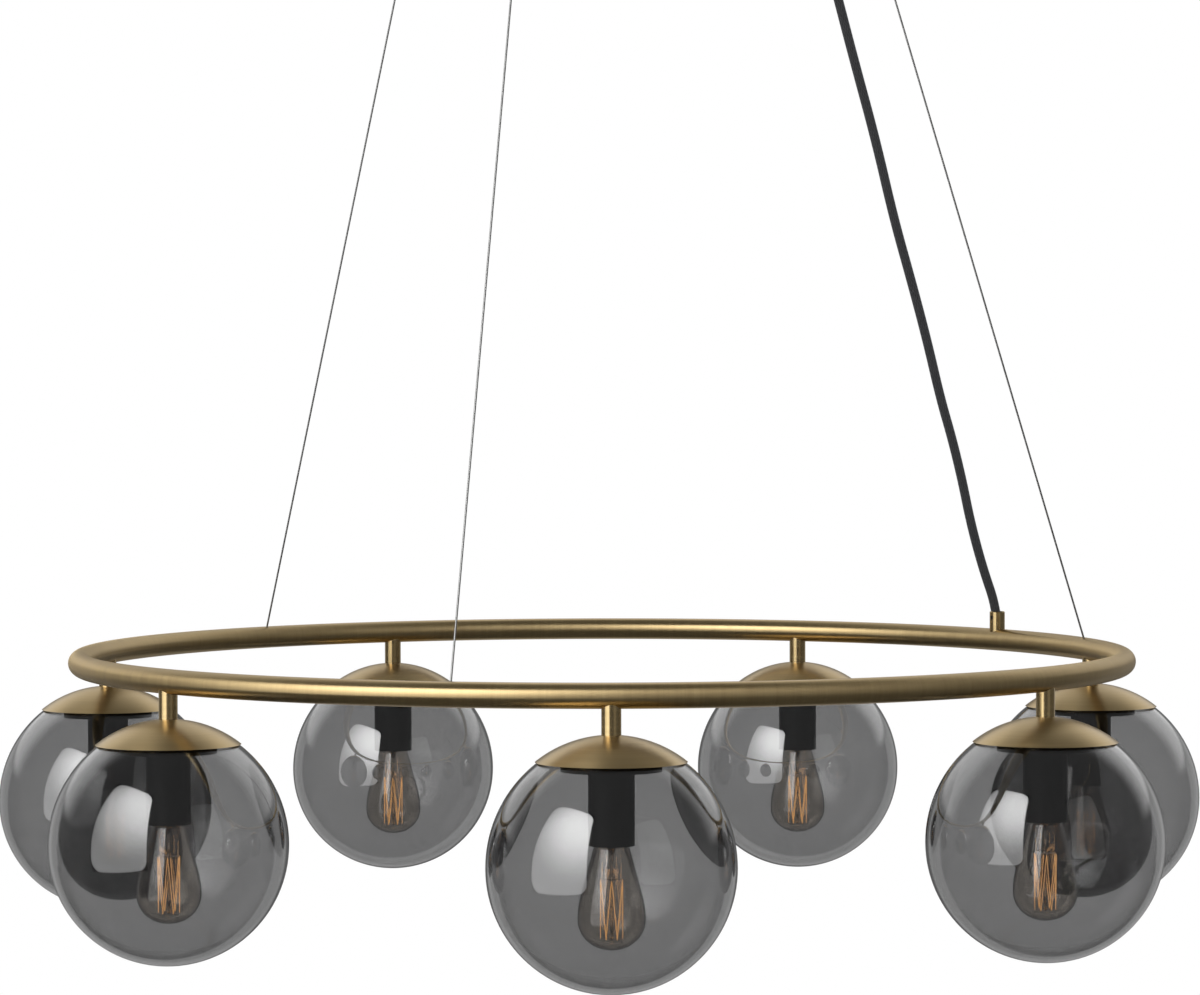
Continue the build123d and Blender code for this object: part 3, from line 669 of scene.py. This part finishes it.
def wire_holes():
    """Small countersunk mouths where the wires go into the tube, as dark dishes of painted shade for the
    holes, with a bright lip.
    """
    vertices, faces, slots = [], [], []
    sides = 20
    for k in range(WIRE_COUNT):
        angle = FIRST_WIRE_ANGLE + k * 360 / WIRE_COUNT
        foot, head = polar(RING_RADIUS, angle, RING_HEIGHT), polar(WIRE_TOP_RADIUS, angle, WIRE_TOP)
        axis = (head - foot).normalized()
        side = axis.cross(Vector((0, 0, 1))).normalized()
        other = axis.cross(side)
        first = len(vertices)
        for radius, rise in HOLE_DISH:
            for s in range(sides):
                turn = 2 * math.pi * s / sides
                spread = (side * math.cos(turn) + other * math.sin(turn)) * radius * WIRE_HOLE_RADIUS
                vertices.append(foot + axis * (RING_TUBE_RADIUS + rise) + spread)
        for ring_index in range(len(HOLE_DISH) - 1):
            for s in range(sides):
                t = (s + 1) % sides
                a, b = first + ring_index * sides, first + (ring_index + 1) * sides
                faces.append((a + s, b + s, b + t, a + t))
                slots.append(0 if ring_index < HOLE_SHADE_RINGS else 1)
    mesh = bpy.data.meshes.new("wire_holes")
    mesh.from_pydata(vertices, [], faces)
    mesh.polygons.foreach_set("use_smooth", [True] * len(faces))
    mesh.polygons.foreach_set("material_index", slots)
    # black metal here is painted shade for the inside of each hole
    mesh.materials.append(black_metal)
    mesh.materials.append(ring_brass)
    made = bpy.data.objects.new("wire_holes", mesh)
    scene.collection.objects.link(made)
    return made


holes = wire_holes()
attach(holes, "ring")

wire, stays = filament_lines()
for k, centre in enumerate(UNITS):
    number = k + 1
    for mesh, label, body, node, slot in (
        (glass_mesh, "globe", "globe", "globe_glass", "smoked_glass"),
        (bulb_mesh, "bulb", "lamp", "bulb_glass", "lamp_glass"),
    ):
        piece = bpy.data.objects.new(f"{label}_blown_{number}", mesh)
        scene.collection.objects.link(piece)
        piece.location = centre
        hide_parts(f"{node}_{number}")
        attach(piece, f"{body}_{number}")
    glow = tube(f"filament_coil_{number}", [[p + centre for p in wire]], FILAMENT_RADIUS, 8, filament_wire)
    stay_lines = [[p + centre for p in line] for line in stays]
    posts = tube(f"filament_stays_{number}", stay_lines, STAY_RADIUS, 6, zinc)
    for piece in (glow, posts):
        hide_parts(f"filament_{number}")
        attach(piece, f"lamp_{number}")


# ---- camera ----------------------------------------------------------------------------------------
CAMERA_PLACE = Vector((0.0, -3.0068, -0.8878))
CAMERA_YAW, CAMERA_PITCH, CAMERA_ROLL = -0.00039, -0.02567, -0.00172    # radians
CAMERA_LENS = 126.145
camera_data = bpy.data.cameras.new("camera")
camera_data.sensor_fit = "HORIZONTAL"
camera_data.sensor_width = 36.0
camera_data.lens = CAMERA_LENS
camera = bpy.data.objects.new("camera", camera_data)
scene.collection.objects.link(camera)
forward = Vector((
    math.sin(CAMERA_YAW) * math.cos(CAMERA_PITCH),
    math.cos(CAMERA_YAW) * math.cos(CAMERA_PITCH),
    math.sin(CAMERA_PITCH),
))
level = forward.cross(Vector((0, 0, 1))).normalized()
upward = level.cross(forward)
right = math.cos(CAMERA_ROLL) * level + math.sin(CAMERA_ROLL) * upward
up = math.cos(CAMERA_ROLL) * upward - math.sin(CAMERA_ROLL) * level
camera.matrix_world = Matrix.Translation(CAMERA_PLACE) @ Matrix((right, up, -forward)).transposed().to_4x4()
scene.camera = camera


# ---- studio ----------------------------------------------------------------------------------------
def path(tree, name):
    return tree.add("ShaderNodeLightPath").outputs[name]


def mirrored(tree):
    """1 for light that comes by way of a reflection, 0 for what is seen straight or through clear glass."""
    return tree.math("GREATER_THAN", path(tree, "Glossy Depth"), 0.5)


world = bpy.data.worlds.new("studio")
scene.world = world
world.cycles.sampling_method = "NONE"


def surroundings(tree, direction):
    """Brightness that a reflection finds in a direction: a pale backdrop in a darker room."""
    _, y, z = tree.split(tree.vector("NORMALIZE", direction))
    high = tree.math("MULTIPLY", tree.spread(z, 0.12, 0.24, 0.0, 1.0, True),
                     tree.spread(z, 0.60, 0.95, 1.0, 0.22, True))
    back = tree.math("MULTIPLY", tree.spread(y, 0.20, 0.60, 0.0, 0.9, True), high)
    low_back = tree.math("MULTIPLY", tree.spread(y, 0.56, 0.64, 0.0, 0.34, True),
                         tree.spread(z, 0.1, 0.3, 1.0, 0.0, True))
    lit = tree.math("MULTIPLY", tree.math("MAXIMUM", back, low_back),
                    tree.spread(y, 0.89, 0.95, 1.0, 0.06, True))
    return tree.math("ADD", lit, tree.spread(z, -0.6, 0.1, 0.10, 0.16, True))


tree = Tree(world)
studio = surroundings(tree, tree.add("ShaderNodeTexCoord").outputs["Generated"])
seen = tree.math("MAXIMUM", path(tree, "Is Camera Ray"), path(tree, "Is Transmission Ray"))
soft = tree.math("MAXIMUM", seen, tree.math("MULTIPLY", path(tree, "Is Diffuse Ray"), 0.55))
level_seen = tree.math("ADD", tree.math("MULTIPLY", mirrored(tree), studio),
                       tree.math("MULTIPLY", tree.math("SUBTRACT", 1.0, mirrored(tree)), soft))
background = tree.add("ShaderNodeBackground", {"Color": rgb(1, 1, 1), "Strength": level_seen})
tree.surface(background, "ShaderNodeOutputWorld")


def turned_to(place, facing):
    """Placement of a flat thing whose +Z looks along facing."""
    turn = facing.normalized().to_track_quat("Z", "Y").to_matrix().to_4x4()
    return Matrix.Translation(Vector(place)) @ turn


def panel(name, place, target, size, strength, fall):
    """Soft panel that only reflections show, brightest in its middle."""
    made, tree = material(name)
    u, v, _ = tree.split(tree.add("ShaderNodeTexCoord").outputs["Generated"])
    across = tree.math("SUBTRACT", u, 0.5)
    along = tree.math("MULTIPLY", tree.math("SUBTRACT", v, 0.5), size[1] / size[0])
    corner = tree.join(tree.math("MAXIMUM", tree.math("SUBTRACT", tree.math("ABSOLUTE", across), 0.32), 0.0),
                       tree.math("MAXIMUM", tree.math("SUBTRACT", tree.math("ABSOLUTE", along),
                                                      size[1] / size[0] / 2 - 0.18), 0.0))
    edge = tree.spread(tree.vector("LENGTH", corner), 0.15, 0.18, 1.0, 0.0, True)
    spot = tree.join(tree.math("ADD", across, 0.28), tree.math("SUBTRACT", along, 0.3))
    fade = tree.math("MULTIPLY", edge, tree.spread(tree.vector("LENGTH", spot), 0.1, 0.95, 1.0, fall, True))
    level = tree.math("MULTIPLY", fade, strength)
    glow = tree.add("ShaderNodeEmission", {"Color": rgb(1, 1, 1), "Strength": level})
    clear = tree.add("ShaderNodeBsdfTransparent")
    mix = tree.add("ShaderNodeMixShader", {0: mirrored(tree), 1: clear.outputs[0], 2: glow.outputs[0]})
    tree.surface(mix)
    made.cycles.emission_sampling = "NONE"
    mesh = bpy.data.meshes.new(name)
    w, h = size[0] / 2, size[1] / 2
    mesh.from_pydata([(-w, -h, 0), (w, -h, 0), (w, h, 0), (-w, h, 0)], [], [(0, 1, 2, 3)])
    mesh.materials.append(made)
    card = bpy.data.objects.new(name, mesh)
    scene.collection.objects.link(card)
    card.matrix_world = turned_to(place, Vector(target) - Vector(place))
    for flag in ("visible_camera", "visible_diffuse", "visible_shadow", "visible_volume_scatter"):
        setattr(card, flag, False)


middle = Vector((0.0, 0.0, UNIT_HEIGHT))
for side, x, y, z, size, strength, fall in (
    ("left", -1.75, -1.8, 1.05, (2.4, 3.6), 6.4, 0.27),
    ("right", 1.6, -2.1, 0.9, (1.4, 2.6), 0.5, 0.6),
):
    panel(f"panel_{side}", middle + Vector((x, y, z)), middle + Vector((0, 0, z)), size, strength, fall)


def lamp(name, place, target, size, strength):
    """Soft area lamp. strength is the brightness of its face, where 1 is white."""
    data = bpy.data.lights.new(name, "AREA")
    data.shape = "RECTANGLE"
    data.size, data.size_y = size
    data.energy = strength * math.pi * size[0] * size[1]
    made = bpy.data.objects.new(name, data)
    scene.collection.objects.link(made)
    made.matrix_world = turned_to(place, Vector(place) - Vector(target))
    made.visible_camera = False
    made.visible_glossy = False
    made.visible_transmission = False


lamp("key", middle + Vector((-1.8, -1.9, 1.3)), middle, (1.8, 1.8), 1.1)
lamp("fill", middle + Vector((1.9, -1.6, 0.9)), middle, (1.6, 1.6), 0.5)
lamp("top", middle + Vector((0.0, 0.4, 2.6)), middle, (2.2, 2.2), 0.5)

FLOOR_REACH, FLOOR_HEIGHT = 7.0, -2.9
floor_mesh = bpy.data.meshes.new("floor")
corners = [(x * FLOOR_REACH, y * FLOOR_REACH, 0) for x, y in ((-1, -1), (1, -1), (1, 1), (-1, 1))]
floor_mesh.from_pydata(corners, [], [(0, 1, 2, 3)])
floor = bpy.data.objects.new("floor", floor_mesh)
scene.collection.objects.link(floor)
floor.location.z = FLOOR_HEIGHT
floor_paint, tree = material("floor_paint")
speck = tree.noise(point(tree), 60.0, 3.0)
paint = tree.blend(speck, rgb(0.80, 0.80, 0.79), rgb(0.84, 0.84, 0.83))
painted = tree.add("ShaderNodeBsdfDiffuse", {"Color": paint, "Roughness": 0.5})
seen = tree.math("MAXIMUM", path(tree, "Is Camera Ray"), path(tree, "Is Transmission Ray"))
glow = tree.add("ShaderNodeEmission", {"Color": rgb(1, 1, 1), "Strength": tree.math("MULTIPLY", seen, 0.5)})
lit = tree.add("ShaderNodeAddShader", {0: painted.outputs[0], 1: glow.outputs[0]})
away = tree.vector("SUBTRACT", tree.add("ShaderNodeNewGeometry").outputs["Position"], tuple(middle))
mirror = tree.add("ShaderNodeEmission", {"Color": rgb(1, 1, 1), "Strength": surroundings(tree, away)})
both = tree.add("ShaderNodeMixShader", {0: mirrored(tree), 1: lit.outputs[0], 2: mirror.outputs[0]})
tree.surface(both)
floor_paint.cycles.emission_sampling = "NONE"
floor_mesh.materials.append(floor_paint)
